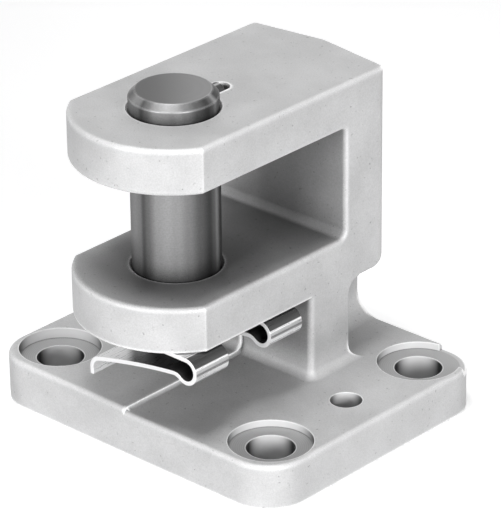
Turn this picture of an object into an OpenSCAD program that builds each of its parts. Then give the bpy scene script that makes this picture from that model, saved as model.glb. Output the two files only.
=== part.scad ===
// Clevis foot for a cylinder rod end: a cast base and yoke with a secured clevis pin.
// The origin is the centre of the four mounting holes on the underside, +Z is up,
// and the fork opens towards -Y. All sizes are in millimetres.

/* [Base plate] */
// Width of the base plate, along X
base_w = 52; // [50:0.5:70]
// Distance from the hole centre to the front edge
base_front = 22; // [21:0.5:32]
// Distance from the hole centre to the back edge
base_back = 21.3; // [21:0.1:30]
// Thickness of the raised left part
base_t = 7; // [6:0.5:12]
// Height of the step at the mould parting plane
step_h = 0.5; // [0.2:0.1:1]
// Place of the mould parting plane along X
parting_x = -0.5; // [-1.5:0.5:1.5]
// Radius of the four corners in plan
corner_r = 6; // [3:0.5:8]
// Rounding of the top edge
base_edge_r = 0.65; // [0.3:0.05:1]

/* [Mounting holes] */
// Hole spacing along X
pitch_x = 39; // [36:0.5:50]
// Hole spacing along Y
pitch_y = 30; // [28:0.5:36]
// Diameter of the screw holes
hole_d = 6.6; // [4.5:0.1:9]
// Diameter of the spot faces
spot_d = 11.4; // [10:0.1:12]
// Height of the spot faces above the underside
spot_floor = 5.5; // [4:0.1:5.8]
// Start of the open corner of a back spot face, inwards from its hole
corner_in = 1; // [0:0.1:3]
// Start of the open corner of a back spot face, backwards from its hole
corner_up = 2.3; // [1:0.1:4]
// Diameter of the two locating holes
locate_d = 4.4; // [3:0.1:6]

/* [Post and rib] */
// Distance from the hole centre to the front of the post
post_front = 1.45; // [0.5:0.05:3]
// Thickness of the post, front to back
post_t = 7.6; // [6:0.1:12]
// Height of the post between the raised base and the lower ear
post_h = 11.5; // [10:0.5:25]
// Rounding of the front edges of the post
post_edge_r = 0.8; // [0.4:0.1:2]
// Fillet at the front and sides of the foot of the post
foot_r = 1.2; // [0.6:0.1:2]
// Fillet at the back of the foot of the post
heel_r = 2.5; // [1:0.1:4]
// Fillet between the back of the post and the underside of the yoke
brow_r = 2.2; // [0.8:0.1:2.5]
// Width of the rib behind the post
rib_w = 6.5; // [4:0.5:10]
// Height of the upright back edge of the rib above the base
rib_rise = 5.5; // [3:0.5:8]
// Fillet between the rib and the base
rib_r = 3.5; // [1:0.5:4]
// Distance of the rib from the back edge of the base
rib_inset = 0.3; // [0:0.1:1]

/* [Yoke] */
// Width of the yoke and the post, along X
yoke_w = 24; // [21:0.5:26]
// Thickness of each ear
ear_t = 6.5; // [5:0.5:10]
// Clear gap of the fork
fork_gap = 16; // [12:0.5:24]
// Radius of the nose of the ears about the pin
nose_r = 14; // [13.5:0.5:18]
// Distance of the pin axis in front of the hole centre
pin_reach = 11.75; // [8:0.25:20]
// Distance from the pin axis to the back wall of the fork
throat = 20.3; // [17:0.1:22]
// Thickness of the back wall at its sides
wall_t = 8.3; // [7:0.1:10]
// Taper of the back of the yoke each side of the parting plane, in degrees
back_draft = 8; // [2:0.5:12]
// Rounding of the long edges of the yoke
edge_r = 0.65; // [0.3:0.05:1]
// Rounding of the edges under the lower ear
under_r = 0.3; // [0.2:0.05:0.45]
// Rounding of the upright back edges
back_edge_r = 1.6; // [0.5:0.1:3]
// Rounding of the lower back edge
rump_r = 3.2; // [1:0.1:4]
// Fillet between the lower ear and the back wall
throat_low_r = 1.2; // [0.5:0.1:2.5]
// Fillet between the upper ear and the back wall
throat_top_r = 0.5; // [0.3:0.1:2]
// Chamfer at the mouths of the pin bore
bore_chamfer = 0.3; // [0.1:0.1:0.8]

/* [Clevis pin] */
// Diameter of the pin
pin_d = 12; // [11:0.5:14]
// Radial running clearance of the pin in its bores
pin_fit = 0.04; // [0.02:0.01:0.1]
// Length of the pin above the upper ear
pin_proud = 2.6; // [2.2:0.1:5]
// Chamfer at the top of the pin
pin_chamfer = 0.9; // [0.4:0.1:1]
// Diameter of the groove for the clip
groove_d = 8; // [6:0.1:9]
// Diameter of the tip below the groove
tip_d = 9.6; // [9.2:0.1:10.8]
// Reach of the tip below the lower ear
tip_reach = 6; // [5.5:0.1:7]
// Chamfer at the end of the tip
tip_chamfer = 0.8; // [0.3:0.1:1]

/* [Spring dowel pin] */
// Diameter of the slotted dowel
dowel_d = 2.5; // [2:0.1:3]
// Wall of the slotted dowel
dowel_wall = 0.5; // [0.3:0.05:0.6]
// Width of the slit along the dowel
dowel_slit = 0.5; // [0.3:0.05:0.8]
// Reach of the dowel from the pin axis
dowel_reach = 8.7; // [7.5:0.1:12]
// Depth of the dowel past the pin axis
dowel_root = 4; // [2:0.1:5]
// Depth of the dowel axis below the top of the ear
dowel_drop = 0.55; // [0.4:0.05:1]
// Radial clearance of the dowel in its hole in the pin
dowel_fit = 0.01; // [0.01:0.01:0.03]
// Clearance of the dowel in the groove of the ear
dowel_play = 0.1; // [0.05:0.05:0.3]

/* [Retaining clip] */
// Width of the clip, along Y
clip_w = 20.6; // [18:0.2:24]
// Thickness of the spring strip
clip_t = 0.6; // [0.4:0.05:0.7]
// Clearance of the clip round the pin and under the ear
clip_play = 0.1; // [0.05:0.05:0.3]
// Clearance of the lower leaf round the tip of the pin
snap_play = 0.2; // [0.15:0.05:0.5]
// Distance from the pin axis to the middle of the rolled fold
fold_x = 11.05; // [10.5:0.05:14]
// Mean radius of the rolled fold
fold_r = 1.65; // [1.4:0.05:2]
// Length of the upper leaf past the pin axis
heel_len = 8.2; // [6:0.1:10]
// Turn of the fold past the half circle, in degrees
fold_over = 38; // [25:1:50]
// Mean radius of the waist behind the fold
waist_r = 1.8; // [1.2:0.1:3]
// Slope of the sprung lower leaf, in degrees
leaf_slope = 10; // [6:0.5:14]
// Length of the straight part of the lower leaf
leaf_len = 14; // [12:0.1:17]
// Mean radius of the finger lip
lip_r = 1.7; // [0.8:0.1:2]
// Turn of the finger lip, in degrees
lip_turn = 78; // [40:1:90]
// Length of the straight end of the lip
lip_len = 0.9; // [0.3:0.1:2]

/* [Hidden] */

// Roundness of the true circles
$fn = 96;
// Overshoot of a cut past the face that it opens
over = 1;
// Overlap of two volumes that are joined into one
bond = 0.5;
// Reach of a fillet past its two faces
lap = 0.3;
// Overlap of two pieces of the bent strip
seam = 0.01;
// Angle between the strip and a radius of its bend
square_on = 90;

low_t = base_t - step_h;
base_mid_y = (base_back - base_front) / 2;
base_d = base_front + base_back;
half_w = yoke_w / 2;
post_back = post_front + post_t;
rib_back = base_back - rib_inset;
lower_z = base_t + post_h;
gap_z = lower_z + ear_t;
upper_z = gap_z + fork_gap;
top_z = upper_z + ear_t;
yoke_h = top_z - lower_z;
pin_y = -pin_reach;
wall_y = pin_y + throat;
side_back_y = wall_y + wall_t;
ridge_rise = (half_w + parting_x) * tan(back_draft);
ridge_y = side_back_y + ridge_rise;
right_back_y = ridge_y - (half_w - parting_x) * tan(back_draft);
dowel_z = top_z - dowel_drop;
slot_w = dowel_d + 2 * dowel_play;
groove_top = lower_z + bore_chamfer;
leaf_mid = clip_play / 2 + clip_t / 2;
groove_low = lower_z - clip_play - clip_t - bore_chamfer;

// The corner between the two axes and a circle that touches both, a little past the axes
module spandrel(r) {
    difference() {
        translate([-lap, -lap]) square(r + lap);
        translate([r, r]) circle(r);
    }
}

// A spandrel carried along X from x0 to x1, with its corner at y, z and its arms towards sy, sz
module rail_x(r, x0, x1, y, z, sy, sz) {
    translate([x0, y, z])
        mirror([0, sy < 0 ? 1 : 0, 0])
        mirror([0, 0, sz < 0 ? 1 : 0])
        rotate([90, 0, 90])
        linear_extrude(x1 - x0) spandrel(r);
}

// A spandrel carried along Y from y0 to y1, with its corner at x, z and its arms towards sx, sz
module rail_y(r, y0, y1, x, z, sx, sz) {
    translate([x, y1, z])
        mirror([sx < 0 ? 1 : 0, 0, 0])
        mirror([0, 0, sz < 0 ? 1 : 0])
        rotate([90, 0, 0])
        linear_extrude(y1 - y0) spandrel(r);
}

// A spandrel carried along Z from z0 to z1, with its corner at x, y and its arms towards sx, sy
module rail_z(r, z0, z1, x, y, sx, sy) {
    translate([x, y, z0])
        mirror([sx < 0 ? 1 : 0, 0, 0])
        mirror([0, sy < 0 ? 1 : 0, 0])
        linear_extrude(z1 - z0) spandrel(r);
}

// A rectangle from x0 to x1 and 0 to h whose two top corners are rounded
module topped(x0, x1, h, r) {
    difference() {
        translate([x0, 0]) square([x1 - x0, h]);
        translate([x0, h]) mirror([0, 1]) spandrel(r);
        translate([x1, h]) rotate(180) spandrel(r);
    }
}

// A disc of radius rad and height h with its top rim rounded by r and its lower rim by low_r
module puck(rad, h, r, low_r = 0) {
    rotate_extrude()
        difference() {
            square([rad, h]);
            translate([rad, h]) rotate(180) spandrel(r);
            if (low_r > 0) translate([rad, 0]) mirror([1, 0]) spandrel(low_r);
        }
}

// The base plate with its top at h: two crossed bars and four corner discs
module base_plate(h) {
    inner_x = base_w / 2 - corner_r;
    translate([-inner_x, 0, 0])
        rotate([90, 0, 90])
        linear_extrude(2 * inner_x) topped(-base_front, base_back, h, base_edge_r);
    translate([0, base_back - corner_r, 0])
        rotate([90, 0, 0])
        linear_extrude(base_d - 2 * corner_r) topped(-base_w / 2, base_w / 2, h, base_edge_r);
    for (sx = [-1, 1])
        for (y = [corner_r - base_front, base_back - corner_r])
            translate([sx * inner_x, y, 0]) puck(corner_r, h, base_edge_r);
}

// The outline of the post seen from the side, with its front and back foot fillets on a base of height h
module post_side(h, front) {
    translate([front, h - bond]) square([post_back - front, lower_z + bond - h + bond]);
    translate([front, h]) mirror([1, 0]) spandrel(foot_r);
    translate([post_back, h]) spandrel(heel_r);
}

// The outline of the post seen from the front, with its side foot fillets
module post_face(h) {
    translate([-half_w, h - bond]) square([yoke_w, lower_z + bond - h + bond]);
    for (s = [0, 1])
        mirror([s, 0]) translate([half_w, h]) spandrel(foot_r);
}

// One rounded front edge of the post with the fillet round its foot
module post_corner(h) {
    rotate_extrude() {
        translate([0, h - bond]) square([post_edge_r, lower_z + bond - h + bond]);
        translate([post_edge_r, h]) spandrel(foot_r);
    }
}

module post(h, front) {
    reach = half_w + heel_r + over;
    // Middle of the post, with all of its front fillet
    translate([post_edge_r - half_w, 0, 0])
        rotate([90, 0, 90])
        linear_extrude(yoke_w - 2 * post_edge_r) post_side(h, front);
    // Sides of the post behind the rounded front edges
    intersection() {
        translate([-reach, 0, 0])
            rotate([90, 0, 90])
            linear_extrude(2 * reach) post_side(h, front);
        translate([0, post_back + heel_r + over, 0])
            rotate([90, 0, 0])
            linear_extrude(post_back + heel_r + over - front - post_edge_r) post_face(h);
    }
    for (s = [-1, 1])
        translate([s * (half_w - post_edge_r), front + post_edge_r, 0]) post_corner(h);
}

// The rib behind the post, seen from the side: upright at the base, then leaning to the back of the yoke
module rib_side(h) {
    polygon([
        [post_back - bond, 0],
        [rib_back, 0],
        [rib_back, h + rib_rise],
        [right_back_y - bond, lower_z + rump_r + bond],
        [post_back - bond, lower_z + rump_r + bond]
    ]);
}

module rib(h) {
    translate([-rib_w / 2, 0, 0])
        rotate([90, 0, 90])
        linear_extrude(rib_w) rib_side(h);
    for (s = [-1, 1])
        rail_y(rib_r, post_back - bond, rib_back, s * rib_w / 2, h, s, 1);
}

// One side of the casting below the yoke, from x0 to x1, with its own base height and post front
module foot_side(h, front, x0, x1) {
    intersection() {
        union() {
            base_plate(h);
            post(h, front);
            rib(h);
        }
        translate([x0, -base_front - over, -over])
            cube([x1 - x0, base_d + 2 * over, lower_z + 2 * rump_r + 2 * over]);
    }
}

// The two sides meet in a small step at the parting plane, with a fillet at its foot
module foot() {
    edge = base_w / 2 + over;
    foot_side(base_t, post_front - step_h, -edge, parting_x);
    foot_side(low_t, post_front, parting_x - bond, edge);
    rail_y(step_h, base_edge_r - base_front, post_front, parting_x, low_t, 1, 1);
}

// The plan of the yoke behind the pin, with a ridge over the parting plane and rounded back corners
module yoke_plan() {
    turn = (90 - back_draft) / 2;
    run = back_edge_r * tan(turn);
    difference() {
        polygon([
            [-half_w, pin_y - nose_r],
            [half_w, pin_y - nose_r],
            [half_w, right_back_y],
            [parting_x, ridge_y],
            [-half_w, side_back_y]
        ]);
        for (s = [-1, 1])
            translate([s * (half_w - back_edge_r), (s < 0 ? side_back_y : right_back_y) - run])
                difference() {
                    polygon([
                        [0, 0],
                        [s * 2 * back_edge_r, 0],
                        [s * 2 * back_edge_r, 2 * back_edge_r],
                        2 * back_edge_r * [s * sin(back_draft), cos(back_draft)]
                    ]);
                    circle(back_edge_r);
                }
    }
}

// A rounded edge cut along the tapered back, towards side s, at height z
module back_rail(r, s, z, sz) {
    translate([parting_x, ridge_y, 0])
        rotate([0, 0, -s * back_draft])
        rail_x(r, s < 0 ? -yoke_w : -bond * s, s < 0 ? bond : yoke_w, 0, z, -1, sz);
}

// The cut that shapes the fork: a throat with two filleted corners and rounded side edges
module fork_cut() {
    front = pin_y - nose_r - over;
    translate([-half_w - over, 0, 0])
        rotate([90, 0, 90])
        linear_extrude(yoke_w + 2 * over)
        difference() {
            translate([front, gap_z]) square([wall_y - front, fork_gap]);
            translate([wall_y, gap_z]) mirror([1, 0]) spandrel(throat_low_r);
            translate([wall_y, upper_z]) rotate(180) spandrel(throat_top_r);
        }
    for (s = [-1, 1]) {
        x = s * half_w;
        rail_y(edge_r, front, wall_y - throat_low_r, x, gap_z, -s, -1);
        rail_y(edge_r, front, wall_y - throat_top_r, x, upper_z, -s, 1);
        rail_z(edge_r, gap_z + throat_low_r, upper_z - throat_top_r, x, wall_y, -s, 1);
        throat_ring(s, throat_low_r, gap_z + throat_low_r);
        throat_ring(s, throat_top_r, upper_z - throat_top_r);
    }
}

// The rounded side edge carried round one corner of the throat
module throat_ring(s, r, z) {
    translate([s * half_w, wall_y - r, z])
        rotate([0, -s * 90, 0])
        rotate_extrude()
        translate([r, 0]) spandrel(edge_r);
}

module yoke() {
    difference() {
        intersection() {
            union() {
                translate([0, pin_y, lower_z]) puck(nose_r, ear_t, edge_r, under_r);
                translate([0, pin_y, upper_z]) puck(nose_r, ear_t, edge_r, edge_r);
                translate([-half_w - over, pin_y, lower_z])
                    cube([yoke_w + 2 * over, ridge_y + over - pin_y, yoke_h]);
            }
            translate([0, 0, lower_z]) linear_extrude(yoke_h) yoke_plan();
        }
        fork_cut();
        for (s = [-1, 1]) {
            rail_y(edge_r, pin_y - nose_r - over, ridge_y + over, s * half_w, top_z, -s, -1);
            rail_y(under_r, pin_y - nose_r - over, ridge_y + over, s * half_w, lower_z, -s, 1);
            back_rail(edge_r, s, top_z, -1);
            back_rail(rump_r, s, lower_z, 1);
        }
    }
    // Fillet behind the post, under the yoke
    rail_x(brow_r, -half_w, half_w, post_back, lower_z, 1, -1);
}

// The bore through both ears, chamfered at every mouth
module pin_bore() {
    bore_r = pin_d / 2 + pin_fit;
    translate([0, pin_y, lower_z - over]) cylinder(r = bore_r, h = yoke_h + 2 * over);
    for (z = [lower_z, upper_z])
        translate([0, pin_y, z]) cylinder(r1 = bore_r + bore_chamfer, r2 = bore_r, h = bore_chamfer);
    for (z = [gap_z, top_z])
        translate([0, pin_y, z - bore_chamfer])
            cylinder(r1 = bore_r, r2 = bore_r + bore_chamfer, h = bore_chamfer);
}

// The open groove in the top of the upper ear that keeps the dowel from turning
module dowel_groove() {
    reach = dowel_reach + dowel_play;
    translate([0, pin_y, dowel_z])
        rotate([-90, 0, 0])
        cylinder(d = slot_w, h = reach);
    translate([-slot_w / 2, pin_y, dowel_z]) cube([slot_w, reach, dowel_drop + over]);
    // Round end left by the cutter
    translate([0, pin_y + reach, dowel_z - slot_w / 2])
        cylinder(d = slot_w, h = slot_w / 2 + dowel_drop + over);
}

module mounting_holes() {
    for (sx = [-1, 1]) {
        for (sy = [-1, 1])
            translate([sx * pitch_x / 2, sy * pitch_y / 2, 0]) {
                translate([0, 0, -over]) cylinder(d = hole_d, h = base_t + 2 * over);
                translate([0, 0, spot_floor]) cylinder(d = spot_d, h = base_t);
            }
        translate([sx * pitch_x / 2, 0, -over]) cylinder(d = locate_d, h = base_t + 2 * over);
        // The back spot faces run out through the corners of the plate
        mirror([sx < 0 ? 1 : 0, 0, 0])
            translate([pitch_x / 2 - corner_in, pitch_y / 2 + corner_up, spot_floor])
            cube([base_w / 2, base_back, base_t]);
    }
}

module bracket_casting() {
    color("lightgray")
        difference() {
            union() {
                foot();
                yoke();
            }
            pin_bore();
            dowel_groove();
            mounting_holes();
        }
}

// The turned pin: chamfered top, plain shank, groove for the clip and a chamfered tip
module clevis_pin() {
    r = pin_d / 2;
    top = top_z + pin_proud;
    tip = lower_z - tip_reach;
    color("dimgray")
        translate([0, pin_y, 0])
        difference() {
            rotate_extrude()
                polygon([
                    [0, tip],
                    [tip_d / 2 - tip_chamfer, tip],
                    [tip_d / 2, tip + tip_chamfer],
                    [tip_d / 2, groove_low],
                    [groove_d / 2, groove_low],
                    [groove_d / 2, groove_top],
                    [r - bore_chamfer, groove_top],
                    [r, groove_top + bore_chamfer],
                    [r, top - pin_chamfer],
                    [r - pin_chamfer, top],
                    [0, top]
                ]);
            translate([0, -dowel_root, dowel_z])
                rotate([-90, 0, 0])
                cylinder(d = dowel_d + 2 * dowel_fit, h = dowel_root + pin_d);
        }
}

// The rolled dowel: a tube with a slit along its underside and tapered ends
module spring_dowel_pin() {
    r = dowel_d / 2;
    length = dowel_root + dowel_reach;
    taper = dowel_wall / 2;
    color("gray")
        translate([0, pin_y - dowel_root, dowel_z])
        rotate([-90, 0, 0])
        difference() {
            rotate_extrude()
                polygon([
                    [r - dowel_wall, 0],
                    [r - taper, 0],
                    [r, taper],
                    [r, length - taper],
                    [r - taper, length],
                    [r - dowel_wall, length]
                ]);
            translate([-dowel_slit / 2, 0, -over]) cube([dowel_slit, dowel_d, length + 2 * over]);
        }
}

// The bent strip of the clip is a path of pieces, each [length, 0] or [mean radius, turn].
// A turn is in degrees and positive towards the left hand of someone who walks the path.
strip = [
    [lip_len, 0],
    [lip_r, -lip_turn],
    [leaf_len, 0],
    [waist_r, -(fold_over + leaf_slope)],
    [fold_r, (180 + fold_over) / 2],
    [fold_r, (180 + fold_over) / 2],
    [fold_x + heel_len, 0]
];

// The heading and the place after the first n pieces of the strip
function heading(n, first) = n == 0 ? first : heading(n - 1, first) + strip[n - 1][1];
function unit(a) = [cos(a), sin(a)];
function chord(piece, a) =
    piece[1] == 0
        ? piece[0] * unit(a)
        : 2 * piece[0] * sin(abs(piece[1]) / 2) * unit(a + piece[1] / 2);
function place(n, first) =
    n == 0 ? [0, 0] : place(n - 1, first) + chord(strip[n - 1], heading(n - 1, first));

// One bent piece: a ring between two radii, kept between its first and last heading
module bend(r, turn) {
    side = turn > 0 ? 1 : -1;
    far = 3 * r;
    more = side * asin(seam / r);
    translate([0, side * r])
        intersection() {
            difference() {
                circle(r + clip_t / 2);
                circle(r - clip_t / 2);
            }
            polygon([
                [0, 0],
                far * unit(-more - side * square_on),
                far * unit(turn / 2 - side * square_on),
                far * unit(turn + more - side * square_on)
            ]);
        }
}

// The profile of the strip, walked from the tip of the lip to the end of the upper leaf
module strip_profile() {
    first = leaf_slope + lip_turn;
    last = place(len(strip), first);
    translate([-heel_len, lower_z - leaf_mid] - last)
        for (n = [0 : len(strip) - 1])
            translate(place(n, first))
                rotate(heading(n, first))
                if (strip[n][1] == 0)
                    translate([-seam, -clip_t / 2]) square([strip[n][0] + 2 * seam, clip_t]);
                else
                    bend(strip[n][0], strip[n][1]);
}

// The clip: the strip at its full width, with a slot for the groove of the pin that is open
// at the fold, and a round hole in the lower leaf that snaps over the tip of the pin
module retaining_clip() {
    slot_d = groove_d + 2 * clip_play;
    split_z = lower_z - clip_play - 1.5 * clip_t;
    depth = tip_reach + 4 * lip_r;
    color("silver")
        translate([0, pin_y, 0])
        difference() {
            translate([0, clip_w / 2, 0])
                rotate([90, 0, 0])
                linear_extrude(clip_w) strip_profile();
            translate([0, 0, lower_z - depth]) cylinder(d = slot_d, h = depth + over);
            translate([0, -slot_d / 2, lower_z - depth])
                cube([fold_x + 2 * fold_r, slot_d, depth + over]);
            translate([0, 0, lower_z - depth])
                cylinder(d = tip_d + 2 * snap_play, h = depth + split_z - lower_z);
        }
}

bracket_casting();
clevis_pin();
spring_dowel_pin();
retaining_clip();
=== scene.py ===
import math

import bmesh
import bpy
import numpy as np
from mathutils import Matrix, Vector


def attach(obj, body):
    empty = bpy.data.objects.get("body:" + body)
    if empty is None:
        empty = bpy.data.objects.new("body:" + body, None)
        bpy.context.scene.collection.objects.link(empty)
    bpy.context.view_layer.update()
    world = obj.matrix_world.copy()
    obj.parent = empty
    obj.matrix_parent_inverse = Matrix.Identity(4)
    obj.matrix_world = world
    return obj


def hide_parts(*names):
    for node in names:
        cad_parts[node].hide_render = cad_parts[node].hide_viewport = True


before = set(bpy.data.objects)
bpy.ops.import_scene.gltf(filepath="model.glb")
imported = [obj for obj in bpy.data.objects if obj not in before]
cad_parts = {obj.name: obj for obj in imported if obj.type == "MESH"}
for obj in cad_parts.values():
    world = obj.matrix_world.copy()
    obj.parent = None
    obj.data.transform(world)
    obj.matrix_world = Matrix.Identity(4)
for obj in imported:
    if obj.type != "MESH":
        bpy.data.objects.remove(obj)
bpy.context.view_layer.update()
mm = 0.001

# Places and sizes that the pieces share with their finishes, in metres
plan = {
    "pinY": -11.75 * mm,
    "pinRadius": 6 * mm,
    "earTop": 47.5 * mm,
    "holeX": 19.5 * mm,
    "holeY": 15 * mm,
    "spotRadius": 5.7 * mm,
    "spotFloor": 5.5 * mm,
    "foldX": 11.05 * mm,
    "foldZ": 16.5 * mm,
    "foldR": 1.65 * mm,
}


# Node helpers

common = {
    "fixedBlue": 1.005, "changingBlue": 1.006,  # blue against red and green in the faintly cool greys
    "edgeSamples": 8, "edgeRamp": (0.95, 0.7), "bevelSamples": 6,
}


def newMaterial(name):
    material = bpy.data.materials.new(name)
    material.use_nodes = True
    tree = material.node_tree
    tree.nodes.clear()
    return material, tree


def addNode(tree, kind, settings=None, **inputs):
    # A node with its own properties from settings, and its inputs by name, or by place as i0, i1 and so on
    made = tree.nodes.new(kind)
    for key, value in (settings or {}).items():
        setattr(made, key, value)
    for key, value in inputs.items():
        byPlace = key[0] == "i" and key[1:].isdigit()
        socket = made.inputs[int(key[1:])] if byPlace else made.inputs[key.replace("_", " ")]
        if isinstance(value, bpy.types.NodeSocket):
            tree.links.new(value, socket)
        else:
            socket.default_value = value
    return made


def calc(tree, operation, first, second=0.0, third=0.0):
    return addNode(tree, "ShaderNodeMath", {"operation": operation}, i0=first, i1=second, i2=third).outputs[0]


def times(tree, *factors):
    product = factors[0]
    for factor in factors[1:]:
        product = calc(tree, "MULTIPLY", product, factor)
    return product


def restOf(tree, share):
    return calc(tree, "SUBTRACT", 1.0, share)


def ramp(tree, value, low, high, toLow=0.0, toHigh=1.0, smooth=True):
    # Goes from toLow to toHigh while the value goes from low to high, and is level beyond them
    return addNode(
        tree, "ShaderNodeMapRange", {"interpolation_type": "SMOOTHSTEP" if smooth else "LINEAR"},
        Value=value, From_Min=low, From_Max=high, To_Min=toLow, To_Max=toHigh,
    ).outputs[0]


def mixColour(tree, factor, first, second):
    return addNode(tree, "ShaderNodeMix", {"data_type": "RGBA"}, i0=factor, i6=first, i7=second).outputs[2]


def grey(tone):
    # A faintly cool grey with a fixed tone
    return (tone, tone, tone * common["fixedBlue"], 1)


def shade(tree, tone):
    # The same from a tone that changes over the surface
    blue = times(tree, tone, common["changingBlue"])
    return addNode(tree, "ShaderNodeCombineColor", i0=tone, i1=tone, i2=blue).outputs[0]


def noise(tree, place, scale, detail, roughness):
    made = addNode(tree, "ShaderNodeTexNoise", Vector=place, Scale=scale, Detail=detail, Roughness=roughness)
    return made.outputs[0]


def objectPlace(tree):
    return addNode(tree, "ShaderNodeTexCoord").outputs["Object"]


def facing(tree):
    return addNode(tree, "ShaderNodeNewGeometry").outputs["Normal"]


def axes(tree, vector):
    return addNode(tree, "ShaderNodeSeparateXYZ", Vector=vector).outputs


def stretched(tree, place, scales):
    # Coordinates for a noise that is drawn out along the axis with the smallest scale
    x, y, z = (times(tree, along, scale) for along, scale in zip(axes(tree, place), scales))
    return addNode(tree, "ShaderNodeCombineXYZ", i0=x, i1=y, i2=z).outputs[0]


def stepsFrom(tree, place, centre):
    # How far a place is from a centre along each of two axes
    return [calc(tree, "SUBTRACT", along, middle) for along, middle in zip(place, centre)]


def distance(tree, steps):
    square = calc(tree, "ADD", times(tree, steps[0], steps[0]), times(tree, steps[1], steps[1]))
    return calc(tree, "SQRT", square)


def angleOf(tree, steps):
    return calc(tree, "ARCTAN2", steps[1], steps[0])


def paintedReflectionBands(tree, angle, stops):
    # A tone for each angle, from a list of degrees between -180 and 180 with their tones, eased between them
    made = addNode(tree, "ShaderNodeValToRGB", i0=ramp(tree, angle, -math.pi, math.pi, smooth=False))
    scale = made.color_ramp
    scale.interpolation = "EASE"
    while len(scale.elements) < len(stops):
        scale.elements.new(0.5)
    for element, (degrees, tone) in zip(scale.elements, stops):
        element.position = (degrees + 180) / 360
        element.color = (tone, tone, tone, 1)
    return made.outputs[0]


def openness(tree, reach, samples=8, alone=False):
    # How much of the half space over the surface is free within reach: 1 on open faces, 0 in deep corners.
    # Alone counts only the piece itself.
    settings = {"samples": samples, "only_local": alone}
    return addNode(tree, "ShaderNodeAmbientOcclusion", settings, Distance=reach).outputs["AO"]


def convexEdge(tree, reach):
    # Rays into the solid leave it within reach only near an outer edge, so this is 0 on flats and 1 on edges
    settings = {"samples": common["edgeSamples"], "inside": True, "only_local": True}
    inner = addNode(tree, "ShaderNodeAmbientOcclusion", settings, Distance=reach).outputs["AO"]
    return ramp(tree, inner, *common["edgeRamp"])


def finishSurface(tree, colour, roughness, look, heights):
    # Softens the edges, lays a bump over them for each height, with its own depth and strength, and adds the
    # shader
    settings = {"samples": common["bevelSamples"]}
    normal = addNode(tree, "ShaderNodeBevel", settings, Radius=look["softening"]).outputs[0]
    for height, (depth, strength) in zip(heights, look["bumps"]):
        bump = addNode(
            tree, "ShaderNodeBump", Height=height, Distance=depth, Strength=strength, Normal=normal,
        )
        normal = bump.outputs[0]
    surface = addNode(
        tree, "ShaderNodeBsdfPrincipled",
        Base_Color=colour, Roughness=roughness, Metallic=look["metallic"], Normal=normal,
    )
    addNode(tree, "ShaderNodeOutputMaterial", Surface=surface.outputs[0])


# Materials. Noises are scale, detail and roughness. Ramps are where they start and stop, and what they
# give there.

castLook = {
    # Skin
    "grain": (5200, 2, 0.7), "pores": (1900, 3, 0.55), "flow": (160, 4, 0.6),
    "mottling": (0.3, 0.7, 0.47, 0.53), "speckle": (0.3, 0.7, 0.92, 1.06), "pits": (0.66, 0.73, 1.0, 0.6),
    "roughness": (0.3, 0.7, 0.52, 0.62), "metallic": 0.2, "softening": 0.08 * mm,
    "bumps": ((0.022 * mm, 0.55), (0.05 * mm, 0.35), (0.01 * mm, 0.5)),
    # Painted edge highlights: wide on the casting, fine at the bores, none on the back of the post
    "edgeHighlightTone": 1.0, "edgeHighlightBreakup": (0.3, 0.6, 0.7, 0.95),
    "wideEdge": 0.6 * mm, "fineEdge": 0.2 * mm, "fineShare": 0.6,
    "spotRim": (6.4 * mm, 6.2 * mm), "locateRim": (3 * mm, 2.8 * mm), "plateTop": (8 * mm, 7.5 * mm),
    "postBack": (7.6 * mm, 8.2 * mm), "postTop": (25 * mm, 23 * mm), "postFoot": (8 * mm, 10 * mm),
    # Painted shade in the fork, on the plate, in corners, round the pin, on the lower ear and on the back
    # wall
    "wideReach": 24 * mm, "wideSamples": 12, "forkPaintedShade": (0.2, 0.85, 0.13, 1.0),
    "platePaintedShade": (0.05, 0.38, 0.2, 1.0), "plateToFork": (7.5 * mm, 12 * mm),
    "cornerReach": 0.8 * mm, "cornerPaintedShade": (0.35, 0.8, 0.3, 1.0),
    "forkFloor": (24.2 * mm, 24.9 * mm), "forkRoof": (42 * mm, 41.2 * mm),
    "pinPaintedShadow": (14 * mm, 6 * mm, 0, 0.6),
    "facesUp": (0.5, 0.9), "earFront": (-14 * mm, -20 * mm, 0, 0.35),
    "facesFront": (-0.5, -0.9), "forkBack": (3 * mm, 8 * mm, 0, 0.28),
    # Spot faces
    "turnedTone": 0.37, "ringTone": (-1, 1, 0.92, 1.05), "ringPitch": 0.28 * mm, "turnedGloss": -0.18,
    "floorPlay": 0.05 * mm, "rimPlay": 0.1 * mm,
    # Bores, with painted light and shade on their walls
    "litFrom": (0.68, -0.73, 0), "upright": (0.4, 0.1),
    "screwWall": (3.5 * mm, 3.35 * mm), "screwTop": (5.6 * mm, 5.5 * mm),
    "locateWall": (2.4 * mm, 2.25 * mm), "locateTop": (7.1 * mm, 7 * mm), "locateShare": 0.7,
    "spotWall": (5.9 * mm, 5.75 * mm), "spotFoot": (5.4 * mm, 5.6 * mm),
    "holePaintedLight": (0.45, 1.0, 0.01, 0.85), "holeDepthShade": (1 * mm, 5.5 * mm, 0.45, 1.0),
    "spotPaintedLight": (0.1, 0.8, 0.05, 0.66),
}


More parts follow.
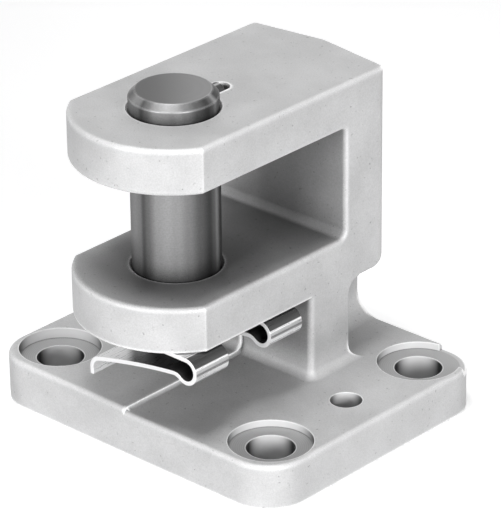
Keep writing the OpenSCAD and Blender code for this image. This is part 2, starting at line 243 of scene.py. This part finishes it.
def castPaintedShade(tree, y, z, fromPin, normalY, normalZ):
    # The share of light that the painted shade leaves. The painted shade is deeper in the fork than on the
    # open base plate.
    look = castLook
    free = openness(tree, look["wideReach"], look["wideSamples"], alone=True)
    high = ramp(tree, z, *look["plateToFork"])
    inFork = times(tree, ramp(tree, free, *look["forkPaintedShade"], smooth=False), high)
    onPlate = times(tree, ramp(tree, free, *look["platePaintedShade"], smooth=False), restOf(tree, high))
    inCorners = ramp(tree, openness(tree, look["cornerReach"]), *look["cornerPaintedShade"])
    # Painted shadow darkens the fork around the pin. More painted shade lies on the lower ear in front and on
    # the back wall.
    between = times(tree, ramp(tree, z, *look["forkFloor"]), ramp(tree, z, *look["forkRoof"]))
    pinShadowMask = times(tree, between, ramp(tree, fromPin, *look["pinPaintedShadow"]))
    onEar = times(tree, ramp(tree, normalZ, *look["facesUp"]), ramp(tree, y, *look["earFront"]))
    onWall = times(tree, ramp(tree, normalY, *look["facesFront"]), ramp(tree, y, *look["forkBack"]))
    earAndWallShadeMask = times(tree, between, calc(tree, "ADD", onEar, onWall))
    wide = calc(tree, "ADD", inFork, onPlate)
    return times(tree, wide, restOf(tree, pinShadowMask), restOf(tree, earAndWallShadeMask), inCorners)


def castBores(tree, body, z, fromHole, fromLocate, normal, normalZ):
    # The walls of the bores and spot faces get painted light on one side and painted shade on the other
    look = castLook
    lit = addNode(tree, "ShaderNodeVectorMath", {"operation": "DOT_PRODUCT"}, i0=normal, i1=look["litFrom"])
    lit = lit.outputs["Value"]
    upright = ramp(tree, calc(tree, "ABSOLUTE", normalZ), *look["upright"])
    inScrew = times(tree, ramp(tree, fromHole, *look["screwWall"]), ramp(tree, z, *look["screwTop"]))
    inLocate = times(tree, ramp(tree, fromLocate, *look["locateWall"]), ramp(tree, z, *look["locateTop"]))
    inHole = calc(tree, "MAXIMUM", inScrew, times(tree, inLocate, look["locateShare"]))
    inSpot = times(tree, ramp(tree, fromHole, *look["spotWall"]), ramp(tree, z, *look["spotFoot"]))
    # Painted shade deeper in the bores
    holePaintedLight = times(tree, ramp(tree, lit, *look["holePaintedLight"]), ramp(tree, z, *look["holeDepthShade"]))
    spotPaintedLight = ramp(tree, lit, *look["spotPaintedLight"])
    body = mixColour(tree, times(tree, inHole, upright), body, shade(tree, holePaintedLight))
    return mixColour(tree, times(tree, inSpot, upright), body, shade(tree, spotPaintedLight))


def castEdgeHighlights(tree, y, z, fromHole, fromLocate, pores):
    # How much painted highlight the edges get: cast edges over their whole rounding, bored ones in a fine
    # line
    look = castLook
    nearBore = calc(
        tree, "MAXIMUM", ramp(tree, fromHole, *look["spotRim"]), ramp(tree, fromLocate, *look["locateRim"]),
    )
    bored = times(tree, nearBore, ramp(tree, z, *look["plateTop"]))
    wideEdge = times(tree, convexEdge(tree, look["wideEdge"]), restOf(tree, bored))
    fineEdge = times(tree, convexEdge(tree, look["fineEdge"]), bored, look["fineShare"])
    inHeight = times(tree, ramp(tree, z, *look["postTop"]), ramp(tree, z, *look["postFoot"]))
    postBackNoHighlight = times(tree, ramp(tree, y, *look["postBack"]), inHeight)
    edgeHighlight = calc(tree, "ADD", wideEdge, fineEdge)
    return times(tree, edgeHighlight, ramp(tree, pores, *look["edgeHighlightBreakup"]), restOf(tree, postBackNoHighlight))


def castAluminium():
    # Blasted casting: fine grain, soft mottling, pits, painted edge highlights, painted shade in corners,
    # turned spot faces
    look = castLook
    material, tree = newMaterial("castAluminium")
    place = objectPlace(tree)
    x, y, z = axes(tree, place)
    normal = facing(tree)
    normalY, normalZ = axes(tree, normal)[1:]
    grain, pores, flow = (noise(tree, place, *look[key]) for key in ("grain", "pores", "flow"))
    # The four corners of the plate are alike, so the distances are taken in one of them
    corner = (calc(tree, "ABSOLUTE", x), calc(tree, "ABSOLUTE", y))
    fromHole = distance(tree, stepsFrom(tree, corner, (plan["holeX"], plan["holeY"])))
    fromLocate = distance(tree, stepsFrom(tree, corner, (plan["holeX"], 0)))
    fromPin = distance(tree, stepsFrom(tree, (x, y), (0, plan["pinY"])))
    # The share of light left by the painted shade in the fork, in corners, round the pin and on the plate
    paintedShadeShare = castPaintedShade(tree, y, z, fromPin, normalY, normalZ)
    skin = times(
        tree, ramp(tree, flow, *look["mottling"]), ramp(tree, grain, *look["speckle"]),
        ramp(tree, pores, *look["pits"]), paintedShadeShare,
    )
    # The floor of a spot face lies at its own height and carries the rings of the cutter
    onFloor = calc(tree, "COMPARE", z, plan["spotFloor"], look["floorPlay"])
    rim = plan["spotRadius"]
    turned = times(tree, onFloor, ramp(tree, fromHole, rim + look["rimPlay"], rim, smooth=False))
    rings = calc(tree, "SINE", times(tree, fromHole, 2 * math.pi / look["ringPitch"]))
    machined = times(tree, ramp(tree, rings, *look["ringTone"]), look["turnedTone"], paintedShadeShare)
    body = mixColour(tree, turned, shade(tree, skin), shade(tree, machined))
    body = castBores(tree, body, z, fromHole, fromLocate, normal, normalZ)
    # Painted highlights on the edges, broken up by the pores
    edgeHighlight = castEdgeHighlights(tree, y, z, fromHole, fromLocate, pores)
    colour = mixColour(tree, edgeHighlight, body, grey(look["edgeHighlightTone"]))
    glossed = times(tree, turned, look["turnedGloss"])
    roughness = calc(tree, "ADD", ramp(tree, flow, *look["roughness"]), glossed)
    finishSurface(tree, colour, roughness, look, (grain, pores, times(tree, rings, turned)))
    return material


pinLook = {
    "rings": (1, 2, 0.6), "ringScale": 9000, "grain": (4200, 2, 0.7),
    "ringTone": (0.3, 0.7, 0.93, 1.06), "grainTone": (0.3, 0.7, 0.92, 1.06),
    "endFace": (0.9, 0.99), "endRings": (0.3, 0.7, 0.92, 1.08), "endPaintedLight": (-6 * mm, 6 * mm, 0.1, 0.21),
    "chamferFace": (0.3, 0.6), "chamferTone": 0.9,
    "cornerReach": 4 * mm, "pinCornerPaintedShade": (0.45, 0.9, 0.2, 1.0),
    "edgeReach": 0.34 * mm, "edgeShare": 0.85, "edgeHighlightTone": 0.85,
    "roughness": (0.3, 0.7, 0.38, 0.48), "endRoughness": 0.12, "metallic": 0.65, "softening": 0.1 * mm,
    "bumps": ((0.008 * mm, 0.25), (0.01 * mm, 0.25)),
    # Degrees round the pin from +X towards +Y, and the tone of the painted reflections on the ground steel
    # there
    "paintedReflectionBands": [
        (-180, 0.14), (-150, 0.26), (-131, 0.12), (-108, 0.24), (-98, 0.2), (-91, 0.08), (-84, 0.13),
        (-70, 0.25), (-55, 0.3), (-45, 0.26), (-30, 0.16), (-14, 0.09), (2, 0.04), (10, 0.1), (17, 0.26),
        (28, 0.05), (50, 0.09), (80, 0.3), (110, 0.14), (135, 0.3), (160, 0.12), (180, 0.14),
    ],
}


def pinSteel():
    # Turned and ground steel: rings round the axis, upright bands of painted reflection on the shank, painted
    # highlights on the chamfer rims
    look = pinLook
    material, tree = newMaterial("pinSteel")
    place = objectPlace(tree)
    x, y, z = axes(tree, place)
    steps = stepsFrom(tree, (x, y), (0, plan["pinY"]))
    upward = axes(tree, facing(tree))[2]
    onEnd = ramp(tree, upward, *look["endFace"])
    onChamfer = times(tree, ramp(tree, upward, *look["chamferFace"]), restOf(tree, onEnd))
    # The rings change with the distance from the axis and with the height, and not with the angle
    outward = times(tree, distance(tree, steps), look["ringScale"])
    ringPlace = addNode(tree, "ShaderNodeCombineXYZ", i0=outward, i2=times(tree, z, look["ringScale"]))
    rings = noise(tree, ringPlace.outputs[0], *look["rings"])
    grain = noise(tree, place, *look["grain"])
    # Painted reflections in upright bands round the shank
    tone = paintedReflectionBands(tree, angleOf(tree, steps), look["paintedReflectionBands"])
    side = times(tree, tone, ramp(tree, rings, *look["ringTone"]), ramp(tree, grain, *look["grainTone"]))
    # Painted shade on the shank near the ear and in corners
    corner = ramp(tree, openness(tree, look["cornerReach"]), *look["pinCornerPaintedShade"])
    # The end face gets painted light, darker in front on the left than behind on the right
    toBack = ramp(tree, calc(tree, "ADD", *steps), *look["endPaintedLight"])
    end = times(tree, ramp(tree, rings, *look["endRings"]), toBack)
    body = mixColour(tree, onEnd, shade(tree, times(tree, side, corner)), shade(tree, end))
    body = mixColour(tree, onChamfer, body, shade(tree, times(tree, side, look["chamferTone"])))
    # Painted highlights on the chamfer rims and edges
    edgeHighlight = times(tree, convexEdge(tree, look["edgeReach"]), look["edgeShare"])
    colour = mixColour(tree, edgeHighlight, body, grey(look["edgeHighlightTone"]))
    rougher = times(tree, calc(tree, "MAXIMUM", onEnd, onChamfer), look["endRoughness"])
    roughness = calc(tree, "ADD", ramp(tree, rings, *look["roughness"]), rougher)
    finishSurface(tree, colour, roughness, look, (rings, grain))
    return material


dowelLook = {
    "streaks": (1, 3, 0.6), "streakScales": (5000, 500, 5000), "tone": (0.3, 0.7, 0.03, 0.07),
    "crownX": 0.25 * mm, "crownWidth": (0.3 * mm, 0.05 * mm), "crownHeight": (47.7 * mm, 47.95 * mm),
    "crownHighlightBreakup": (0.35, 0.6, 0.5, 1.0), "crownHighlightTone": 0.45,
    "edgeReach": 0.15 * mm, "edgeShare": 0.4, "edgeHighlightTone": 0.4,
    "roughness": (0.3, 0.7, 0.3, 0.45), "metallic": 0.6, "softening": 0.06 * mm, "bumps": ((0.01 * mm, 0.3),),
}


def dowelSteel():
    # Spring steel, nearly black in its groove, with one painted highlight streak along the crown
    look = dowelLook
    material, tree = newMaterial("dowelSteel")
    place = objectPlace(tree)
    x, y, z = axes(tree, place)
    streaks = noise(tree, stretched(tree, place, look["streakScales"]), *look["streaks"])
    fromCrown = calc(tree, "ABSOLUTE", calc(tree, "SUBTRACT", x, look["crownX"]))
    # A painted highlight streak along the top of the dowel
    crown = times(
        tree, ramp(tree, fromCrown, *look["crownWidth"]), ramp(tree, z, *look["crownHeight"]),
        ramp(tree, streaks, *look["crownHighlightBreakup"]),
    )
    body = mixColour(tree, crown, shade(tree, ramp(tree, streaks, *look["tone"])), grey(look["crownHighlightTone"]))
    # Painted highlights on the edges
    edgeHighlight = times(tree, convexEdge(tree, look["edgeReach"]), look["edgeShare"])
    colour = mixColour(tree, edgeHighlight, body, grey(look["edgeHighlightTone"]))
    finishSurface(tree, colour, ramp(tree, streaks, *look["roughness"]), look, (streaks,))
    return material


clipLook = {
    "streaks": (1, 3, 0.6), "streakScales": (2600, 160, 2600), "grain": (5000, 2, 0.7),
    "streakTone": (0.25, 0.75, 0.92, 1.06), "grainTone": (0.3, 0.7, 0.94, 1.05),
    # Where the painted reflection bands lie, from the radius of the fold and from its axis
    "outside": (0.1 * mm, 0.2 * mm), "beside": (-1.2 * mm, -0.4 * mm),
    "shadowEdge": (-0.2 * mm, 1.9 * mm), "shadowSkew": 0.92, "shadowY": 22 * mm, "shadowTop": (18.4 * mm, 18.3 * mm),
    "plainTone": 0.82, "paintedShadowTone": 0.08, "innerReach": 3 * mm, "innerPaintedShade": (0.2, 0.7, 0.3, 1.0),
    "sheared": (0.4, 0.8), "shearedTone": 0.82, "shearedRoughness": 0.15,
    "roughness": (0.3, 0.7, 0.26, 0.38), "metallic": 0.6, "softening": 0.08 * mm,
    "bumps": ((0.004 * mm, 0.15),),
    # Degrees round the axis of the fold from +X towards +Z, and the tone of the painted reflection bands
    # there
    "paintedReflectionBands": [
        (-180, 0.5), (-60, 0.3), (-36, 0.35), (-28, 0.85), (-9, 0.9), (-2, 0.25), (3, 0.2), (7, 0.45),
        (16, 0.5), (20, 0.9), (24, 0.9), (28, 0.08), (55, 0.04), (84, 0.07), (89, 0.7), (95, 0.5), (180, 0.5),
    ],
}


def springSteel():
    # Rolled strip: bright, with painted reflection bands round its fold, a painted shadow on the lower leaf,
    # with polished sheared edges
    look = clipLook
    material, tree = newMaterial("springSteel")
    place = objectPlace(tree)
    x, y, z = axes(tree, place)
    steps = stepsFrom(tree, (x, z), (plan["foldX"], plan["foldZ"]))
    streaks = noise(tree, stretched(tree, place, look["streakScales"]), *look["streaks"])
    grain = noise(tree, place, *look["grain"])
    # The painted reflection bands lie on the outer side of the fold, and near it
    outside = ramp(tree, distance(tree, steps), *(plan["foldR"] + more for more in look["outside"]))
    onFold = times(tree, outside, ramp(tree, x, *(plan["foldX"] + more for more in look["beside"])))
    banded = paintedReflectionBands(tree, angleOf(tree, steps), look["paintedReflectionBands"])
    # A painted shadow darkens the lower leaf from a slanting line across it to the fold, and not the top of
    # the upper one
    skewed = calc(tree, "ADD", x, times(tree, calc(tree, "ADD", y, look["shadowY"]), look["shadowSkew"]))
    paintedShadowMask = times(tree, ramp(tree, skewed, *look["shadowEdge"]), ramp(tree, z, *look["shadowTop"]))
    leaf = ramp(tree, paintedShadowMask, 0, 1, look["plainTone"], look["paintedShadowTone"], smooth=False)
    # Painted shade in the fold and near the ear
    inner = times(tree, leaf, ramp(tree, openness(tree, look["innerReach"]), *look["innerPaintedShade"]))
    tone = times(
        tree, mixColour(tree, onFold, shade(tree, inner), banded),
        ramp(tree, streaks, *look["streakTone"]), ramp(tree, grain, *look["grainTone"]),
    )
    sheared = ramp(tree, calc(tree, "ABSOLUTE", axes(tree, facing(tree))[1]), *look["sheared"])
    colour = mixColour(tree, sheared, shade(tree, tone), grey(look["shearedTone"]))
    rougher = times(tree, sheared, look["shearedRoughness"])
    roughness = calc(tree, "ADD", ramp(tree, streaks, *look["roughness"]), rougher)
    finishSurface(tree, colour, roughness, look, (streaks,))
    return material


print("materials")
finishes = {
    "bracket_casting": castAluminium(),
    "clevis_pin": pinSteel(),
    "spring_dowel_pin": dowelSteel(),
    "retaining_clip": springSteel(),
}
for nodeName, finish in finishes.items():
    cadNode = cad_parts[nodeName]
    cadNode.data.materials.clear()
    cadNode.data.materials.append(finish)


# Finer pieces

sharpAngle = math.radians(35)  # where the faces meet more sharply, the shading breaks
weldReach = 0.002 * mm


def finishMesh(mesh, weld=0.0):
    # Joins points closer than weld, so that no sliver is left, turns the faces outward and shades them smooth
    # up to the sharp edges
    shell = bmesh.new()
    shell.from_mesh(mesh)
    if weld:
        bmesh.ops.remove_doubles(shell, verts=shell.verts, dist=weld)
        bmesh.ops.dissolve_degenerate(shell, edges=shell.edges, dist=weld)
    bmesh.ops.recalc_face_normals(shell, faces=shell.faces)
    shell.to_mesh(mesh)
    shell.free()
    mesh.shade_smooth()
    mesh.set_sharp_from_angle(angle=sharpAngle)


def meshFrom(name, points, faces, finish):
    # A closed piece from its points and faces
    mesh = bpy.data.meshes.new(name)
    mesh.from_pydata(np.asarray(points, float).tolist(), [], faces)
    mesh.validate()
    mesh.materials.append(finish)
    finishMesh(mesh)
    made = bpy.data.objects.new(name, mesh)
    bpy.context.collection.objects.link(made)
    return made


def gridFaces(rows, columns):
    # Four-sided faces between neighbouring rows of points. Columns run round and meet.
    row, column = np.meshgrid(np.arange(rows - 1), np.arange(columns), indexing="ij")
    after = (column + 1) % columns
    low, high = row * columns, (row + 1) * columns
    return np.stack([low + column, low + after, high + after, high + column], -1).reshape(-1, 4).tolist()


def tubeFaces(rows, columns):
    # The same, with both ends closed by one face each
    first, last = list(range(columns))[::-1], list(range((rows - 1) * columns, rows * columns))
    return gridFaces(rows, columns) + [first, last]


def arcPoints(radius, start, stop, count):
    # Points on an arc about the origin, from one angle in degrees to another: r cos t and r sin t
    angle = np.radians(np.linspace(start, stop, count))
    return radius * np.stack([np.cos(angle), np.sin(angle)], -1)


def roundCorners(outline, radius, steps=6):
    # Each point of an outline but the first and last becomes a quadratic Bezier that has it as its control
    # point, and starts and stops the radius away from it along its two sides
    outline = np.array(outline, float)
    before, corner, after = outline[:-2, None], outline[1:-1, None], outline[2:, None]
    start = corner + radius * (before - corner) / np.linalg.norm(before - corner, axis=-1, keepdims=True)
    stop = corner + radius * (after - corner) / np.linalg.norm(after - corner, axis=-1, keepdims=True)
    share = np.linspace(0, 1, steps)[:, None]
    curves = (1 - share) ** 2 * start + 2 * share * (1 - share) * corner + share ** 2 * stop
    return np.vstack([outline[:1], curves.reshape(-1, 2), outline[-1:]])


def lathe(outline, turns):
    # Points of radius and height turned round the upright axis: x is r cos t and y is r sin t. The first and
    # last points lie on the axis and close the piece as fans.
    ring = np.linspace(0, 2 * np.pi, turns, endpoint=False)
    radius, height = outline[1:-1, :1], outline[1:-1, 1:]
    wall = np.stack([radius * np.cos(ring), radius * np.sin(ring), height + 0 * ring], -1).reshape(-1, 3)
    points = np.vstack([wall, [0, 0, outline[0, 1]], [0, 0, outline[-1, 1]]])
    rows = len(radius)
    column = np.arange(turns)
    after = (column + 1) % turns
    top = (rows - 1) * turns
    foot = np.stack([np.full(turns, rows * turns), after, column], -1)
    head = np.stack([np.full(turns, rows * turns + 1), top + column, top + after], -1)
    return points, gridFaces(rows, turns) + foot.tolist() + head.tolist()


def prism(name, outline, low, high, finish):
    # An upright prism over a flat outline, used as a cutter
    floor, roof = (np.insert(outline, 2, height, axis=1) for height in (low, high))
    return meshFrom(name, np.vstack([floor, roof]), tubeFaces(2, len(outline)), finish)


def cutBy(piece, cutter):
    # Takes the cutter away from the piece, keeps the result as its mesh and drops the cutter
    change = piece.modifiers.new("cut", "BOOLEAN")
    change.operation = "DIFFERENCE"
    change.solver = "EXACT"
    change.object = cutter
    bpy.context.view_layer.update()
    depsgraph = bpy.context.evaluated_depsgraph_get()
    shaped = bpy.data.meshes.new_from_object(piece.evaluated_get(depsgraph))
    piece.modifiers.clear()
    piece.data = shaped
    finishMesh(shaped, weldReach)
    bpy.data.objects.remove(cutter)


print("pin")
pinSpec = {
    "tip": 12.5 * mm, "tipRadius": 4.8 * mm, "tipChamfer": 0.8 * mm,
    "neckLow": 17.5 * mm, "neckRadius": 4 * mm, "neckTop": 18.8 * mm,
    "shoulder": 0.3 * mm, "chamfer": 0.9 * mm, "top": 50.1 * mm, "crown": 0.03 * mm,
    "corner": 0.12 * mm, "turns": 192,
}


def turnPin(spec, radius):
    # The half outline of the pin from its tip to its head, turned about the pin's axis
    outline = roundCorners([
        (0, spec["tip"]),
        (spec["tipRadius"] - spec["tipChamfer"], spec["tip"]),
        (spec["tipRadius"], spec["tip"] + spec["tipChamfer"]),
        (spec["tipRadius"], spec["neckLow"]),
        (spec["neckRadius"], spec["neckLow"]),
        (spec["neckRadius"], spec["neckTop"]),
        (radius - spec["shoulder"], spec["neckTop"]),
        (radius, spec["neckTop"] + spec["shoulder"]),
        (radius, spec["top"] - spec["chamfer"]),
        (radius - spec["chamfer"], spec["top"] - spec["crown"]),
        (0, spec["top"]),
    ], spec["corner"])
    points, faces = lathe(outline, spec["turns"])
    return meshFrom("turned_pin", points + (0, plan["pinY"], 0), faces, finishes["clevis_pin"])


turnedPin = turnPin(pinSpec, plan["pinRadius"])

print("dowel")
dowelSpec = {
    "axisZ": 46.95 * mm, "from": -15.75 * mm, "to": -3.05 * mm, "outer": 1.25 * mm, "inner": 0.75 * mm,
    "taper": 0.25 * mm, "halfSlit": 0.25 * mm, "corner": 0.06 * mm, "cornerSteps": 4, "turns": 72,
    "holeFit": 0.01 * mm,
}


def rollDowel(spec):
    # The wall of the tube, outlined in radius and length with tapered ends, is turned about the tube's own
    # axis from one side of the slit below round to the other: x is r cos t and z is r sin t over the axis
    start, stop, inner, outer, taper = (spec[key] for key in ("from", "to", "inner", "outer", "taper"))
    wall = roundCorners([
        (inner, (start + stop) / 2),
        (inner, start),
        (outer - taper, start),
        (outer, start + taper),
        (outer, stop - taper),
        (outer - taper, stop),
        (inner, stop),
        (inner, (start + stop) / 2),
    ], spec["corner"], spec["cornerSteps"])[:-1]
    slitAngle = math.asin(spec["halfSlit"] / outer)
    sweep = np.linspace(slitAngle - np.pi / 2, 3 * np.pi / 2 - slitAngle, spec["turns"])[:, None]
    radius, along = wall[:, 0], wall[:, 1] + 0 * sweep
    points = np.stack([radius * np.cos(sweep), along, spec["axisZ"] + radius * np.sin(sweep)], -1)
    faces = tubeFaces(spec["turns"], len(wall))
    return meshFrom("rolled_dowel", points.reshape(-1, 3), faces, finishes["spring_dowel_pin"])


def dowelBore(spec):
    # The cross hole that the dowel is pressed into, from its front end out through the back of the pin
    ring = arcPoints(spec["outer"] + spec["holeFit"], 0, 360, spec["turns"] + 1)[:-1]
    made = prism("bore", ring, spec["from"], plan["pinY"] + 2 * plan["pinRadius"], finishes["clevis_pin"])
    lying = Matrix.Rotation(math.radians(-90), 4, "X")
    made.data.transform(Matrix.Translation((0, 0, spec["axisZ"])) @ lying)
    return made


rolledDowel = rollDowel(dowelSpec)
cutBy(turnedPin, dowelBore(dowelSpec))

print("clip")
clipSpec = {
    "thick": 0.6 * mm, "width": 20.6 * mm, "topZ": 18.15 * mm, "heel": -8.2 * mm, "foldTurn": 218,
    "foldOver": 38, "waist": 1.8 * mm, "slope": 11, "bow": 8, "leaf": 14 * mm,
    "lipRadius": 1.7 * mm, "lipTurn": 78, "lip": 0.9 * mm,
    # Radii of the cuts and the points on their arcs, and the heights below, between and above the leaves
    "slot": 4.1 * mm, "slotArc": 49, "snap": 5 * mm, "snapArc": 97,
    "low": 5 * mm, "split": 17.5 * mm, "high": 25 * mm,
    # Steps of the walk in degrees and in metres
    "step": 4, "flatStep": 1 * mm, "corner": 0.07 * mm, "cornerSteps": 4,
}


def arcLeg(radius, turn):
    # A bend with that radius as a leg of length and turn in degrees
    return radius * math.radians(abs(turn)), turn


def walkStrip(start, legs, spec):
    # The middle line of the strip in x and z, and its heading there, from legs of a length and a turn in
    # degrees. Each leg is cut into even steps. A step of length s that turns by 2h goes s sin(h) / h along
    # the heading that it has halfway.
    half, along = [], []
    for length, turn in legs:
        count = max(2, round(max(abs(turn) / spec["step"], length / spec["flatStep"])))
        half.append(np.full(count, math.radians(turn) / count / 2))
        along.append(np.full(count, length / count))
    half, along = np.concatenate(half), np.concatenate(along)
    heading = np.append(0, np.cumsum(2 * half))
    halfway = heading[:-1] + half
    chord = along * np.sinc(half / np.pi)
    steps = np.stack([chord * np.cos(halfway), chord * np.sin(halfway)], -1)
    return np.array(start) + np.vstack([(0, 0), np.cumsum(steps, 0)]), heading


def bendClip(spec):
    # The strip is walked from the end of its upper leaf: out to the fold, round it, over the waist, and along
    # the bowed lower leaf to the lip. Its cross-section, a rectangle with soft corners, is carried along.
    line, heading = walkStrip((spec["heel"], spec["topZ"]), [
        (plan["foldX"] - spec["heel"], 0),
        arcLeg(plan["foldR"], -spec["foldTurn"]),
        arcLeg(spec["waist"], spec["foldOver"] + spec["slope"] - spec["bow"] / 2),
        (spec["leaf"], spec["bow"]),
        arcLeg(spec["lipRadius"], spec["lipTurn"]),
        (spec["lip"], 0),
    ], spec)
    thick, wide = spec["thick"] / 2, spec["width"] / 2
    section = roundCorners([
        (0, -wide), (thick, -wide), (thick, wide), (-thick, wide), (-thick, -wide), (0, -wide),
    ], spec["corner"], spec["cornerSteps"])[:-1]
    points = np.stack([
        line[:, :1] - np.sin(heading)[:, None] * section[:, 0],
        plan["pinY"] + section[:, 1] + 0 * line[:, :1],
        line[:, 1:] + np.cos(heading)[:, None] * section[:, 0],
    ], -1)
    faces = tubeFaces(len(line), len(section))
    return meshFrom("bent_clip", points.reshape(-1, 3), faces, finishes["retaining_clip"])


def clipCutters(spec):
    # The slot that slides round the neck of the pin, open to the fold, and the wider hole in the lower leaf
    # that snaps over its tip
    reach = plan["foldX"] + 3 * plan["foldR"]
    slotOutline = np.vstack([
        arcPoints(spec["slot"], 90, 270, spec["slotArc"]), (reach, -spec["slot"]), (reach, spec["slot"]),
    ])
    snapOutline = arcPoints(spec["snap"], 0, 360, spec["snapArc"])[:-1]
    finish = finishes["retaining_clip"]
    onPin = (0, plan["pinY"])
    return (
        prism("slot", slotOutline + onPin, spec["low"], spec["high"], finish),
        prism("snap", snapOutline + onPin, spec["low"], spec["split"], finish),
    )


bentClip = bendClip(clipSpec)
for cutter in clipCutters(clipSpec):
    cutBy(bentClip, cutter)

for piece, body, nodeName, slot in (
    (turnedPin, "pin", "clevis_pin", "pin_steel"),
    (rolledDowel, "pin", "spring_dowel_pin", "dowel_steel"),
    (bentClip, "clip", "retaining_clip", "spring_steel"),
):
    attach(piece, body)
    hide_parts(nodeName)


# Floor, light and camera

print("studio")
studio = {
    "floorReach": 1.2, "floorDrop": 0.03 * mm, "floorGreys": (0.9, 0.92), "paperNoise": (30, 2, 0.6),
    "paperRoughness": 0.9, "paperSheen": 0.1, "paperGlow": 0.36, "roomLight": 0.02, "pageLight": 1.0,
    "aim": Vector((0, 0, 24 * mm)),
    # Degrees round from the front to the right, degrees up, metres away, metres wide, watts
    "lights": {
        "keyFront": (0, 10, 0.6, 0.22, 1.95),
        "sideRight": (70, 12, 0.6, 0.22, 2.9),
        "overhead": (0, 80, 0.6, 0.22, 2.2),
        "farLeft": (-90, 60, 0.6, 0.22, 0.15),
        "nearBack": (170, 65, 0.11, 0.05, 0.008),
    },
}


def paperFloor():
    # A sheet of pale paper just under the part. The camera sees it a little lighter than its light makes it,
    # as in the cut-out photograph, and it keeps the part's shadow.
    material, tree = newMaterial("floorPaper")
    greys = [grey(tone) for tone in studio["floorGreys"]]
    tone = mixColour(tree, noise(tree, objectPlace(tree), *studio["paperNoise"]), *greys)
    isCamera = addNode(tree, "ShaderNodeLightPath").outputs["Is Camera Ray"]
    paper = addNode(
        tree, "ShaderNodeBsdfPrincipled",
        Base_Color=tone, Roughness=studio["paperRoughness"], Specular_IOR_Level=studio["paperSheen"],
        Emission_Color=(1, 1, 1, 1), Emission_Strength=times(tree, isCamera, studio["paperGlow"]),
    )
    addNode(tree, "ShaderNodeOutputMaterial", Surface=paper.outputs[0])
    reach, level = studio["floorReach"], -studio["floorDrop"]
    corners = [(-reach, -reach, level), (reach, -reach, level), (reach, reach, level), (-reach, reach, level)]
    mesh = bpy.data.meshes.new("floor")
    mesh.from_pydata(corners, [], [(0, 1, 2, 3)])
    mesh.materials.append(material)
    made = bpy.data.objects.new("floor", mesh)
    bpy.context.collection.objects.link(made)
    return made


def awayFrom(azimuth, elevation):
    # The direction from the part to a viewer that many radians round from the front to the right and up
    level = math.cos(elevation)
    return Vector((math.sin(azimuth) * level, -math.cos(azimuth) * level, math.sin(elevation)))


def softBox(name, azimuth, elevation, far, width, power):
    data = bpy.data.lights.new(name, "AREA")
    data.shape = "RECTANGLE"
    data.size = data.size_y = width
    data.energy = power
    lamp = bpy.data.objects.new(name, data)
    bpy.context.collection.objects.link(lamp)
    away = awayFrom(math.radians(azimuth), math.radians(elevation))
    lamp.location = studio["aim"] + away * far
    lamp.rotation_mode = "QUATERNION"
    lamp.rotation_quaternion = (-away).to_track_quat("-Z", "Y")


def whiteWorld():
    # The camera, polished metal and glass see a white page, and everything else gets a dim even light
    world = bpy.data.worlds.new("studioWorld")
    world.use_nodes = True
    tree = world.node_tree
    tree.nodes.clear()
    path = addNode(tree, "ShaderNodeLightPath")
    seen = path.outputs["Is Camera Ray"]
    for ray in ("Is Glossy Ray", "Is Transmission Ray"):
        seen = calc(tree, "MAXIMUM", seen, path.outputs[ray])
    dim = addNode(tree, "ShaderNodeBackground", Color=(1, 1, 1, 1), Strength=studio["roomLight"])
    page = addNode(tree, "ShaderNodeBackground", Color=(1, 1, 1, 1), Strength=studio["pageLight"])
    chosen = addNode(tree, "ShaderNodeMixShader", i0=seen, i1=dim.outputs[0], i2=page.outputs[0])
    addNode(tree, "ShaderNodeOutputWorld", Surface=chosen.outputs[0])
    return world


paperFloor()
for lightName, setting in studio["lights"].items():
    softBox(lightName, *setting)
bpy.context.scene.world = whiteWorld()
bpy.context.scene.view_settings.view_transform = "Standard"

# The camera comes from a perspective fit of the photograph. It aims a little way in the picture, to the right
# and up, from the pin's axis at the top of the upper ear.
lens = {
    "azimuth": math.radians(42.7443), "elevation": math.radians(25.9274), "roll": math.radians(-0.6442),
    "focal": 255.11, "sensor": 36, "distance": 471.87 * mm, "clip": (0.01, 10),
    "aimFrom": Vector((0, plan["pinY"], plan["earTop"])), "aimRight": 9.7407 * mm, "aimUp": -19.5876 * mm,
}


def photoCamera():
    right = Vector((math.cos(lens["azimuth"]), math.sin(lens["azimuth"]), 0))
    back = awayFrom(lens["azimuth"], lens["elevation"])
    up = back.cross(right)
    target = lens["aimFrom"] + right * lens["aimRight"] + up * lens["aimUp"]
    rolledRight = right * math.cos(lens["roll"]) + up * math.sin(lens["roll"])
    rolledUp = up * math.cos(lens["roll"]) - right * math.sin(lens["roll"])
    data = bpy.data.cameras.new("photoCamera")
    data.sensor_width = lens["sensor"]
    data.lens = lens["focal"]
    data.clip_start, data.clip_end = lens["clip"]
    made = bpy.data.objects.new("photoCamera", data)
    bpy.context.collection.objects.link(made)
    turnedTo = Matrix((rolledRight, rolledUp, back)).transposed().to_4x4()
    made.matrix_world = Matrix.Translation(target + back * lens["distance"]) @ turnedTo
    return made


bpy.context.scene.camera = photoCamera()
